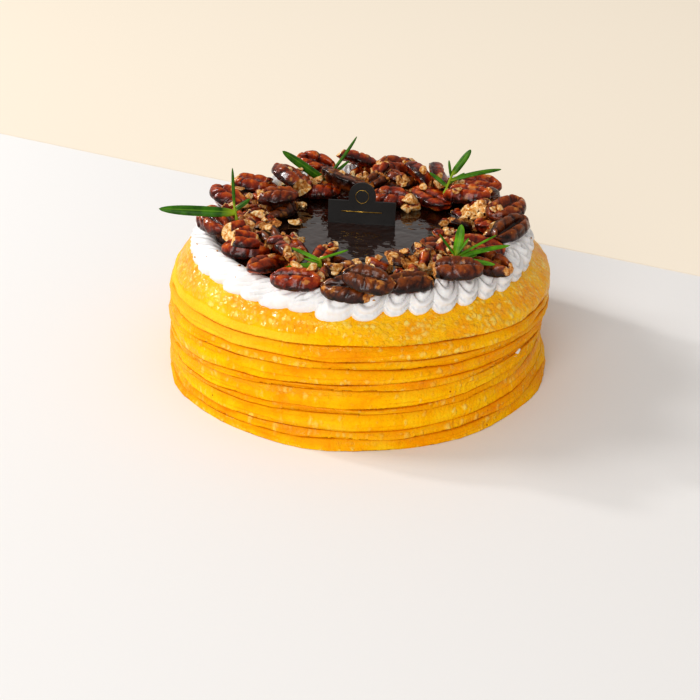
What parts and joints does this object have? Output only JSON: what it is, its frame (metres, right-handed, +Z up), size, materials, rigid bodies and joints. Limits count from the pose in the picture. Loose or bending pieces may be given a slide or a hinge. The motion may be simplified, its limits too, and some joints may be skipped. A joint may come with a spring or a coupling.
{
  "type": "crepe cake",
  "caption": "Round layered crepe cake with draped crepes, a piped cream rim, dark glaze, a pecan wreath, rosemary sprigs and a plain card.",
  "frame": {"origin": "centre of the flat underside", "axes": "+Z up, -Y the front, where the card's face looks, +X the right seen from the front"},
  "size_m": [0.1978, 0.2008, 0.106],
  "materials": {
    "crepe": "soft sheen, mottled golden",
    "cream": "soft satin",
    "glaze": "wet gloss",
    "pecan": "roasted, satin",
    "rosemary": "waxy",
    "card": "black satin with foil lines"
  },
  "bodies": {
    "root": {"crepe_01": "crepe", "crepe_02": "crepe", "crepe_03": "crepe", "crepe_04": "crepe", "crepe_05": "crepe", "crepe_06": "crepe", "crepe_07": "crepe", "crepe_08": "crepe", "crepe_09": "crepe", "crepe_10": "crepe", "cream_border": "cream", "glaze": "glaze", "card": "card", "pecan_01": "pecan", "pecan_02": "pecan", "pecan_03": "pecan", "pecan_04": "pecan", "pecan_05": "pecan", "pecan_06": "pecan", "pecan_07": "pecan", "pecan_08": "pecan", "pecan_09": "pecan", "pecan_10": "pecan", "pecan_11": "pecan", "pecan_12": "pecan", "pecan_13": "pecan", "pecan_14": "pecan", "pecan_15": "pecan", "pecan_16": "pecan", "pecan_17": "pecan", "pecan_18": "pecan", "pecan_19": "pecan", "pecan_20": "pecan", "pecan_21": "pecan", "pecan_22": "pecan", "pecan_23": "pecan", "pecan_24": "pecan", "pecan_25": "pecan", "pecan_26": "pecan", "pecan_27": "pecan", "pecan_28": "pecan", "pecan_29": "pecan", "pecan_30": "pecan", "pecan_31": "pecan", "pecan_32": "pecan", "pecan_33": "pecan", "pecan_34": "pecan", "pecan_35": "pecan", "pecan_36": "pecan", "pecan_37": "pecan", "rosemary_left": "rosemary", "rosemary_back": "rosemary", "rosemary_right_back": "rosemary", "rosemary_right_front": "rosemary", "rosemary_front": "rosemary"}
  },
  "joints": []
}
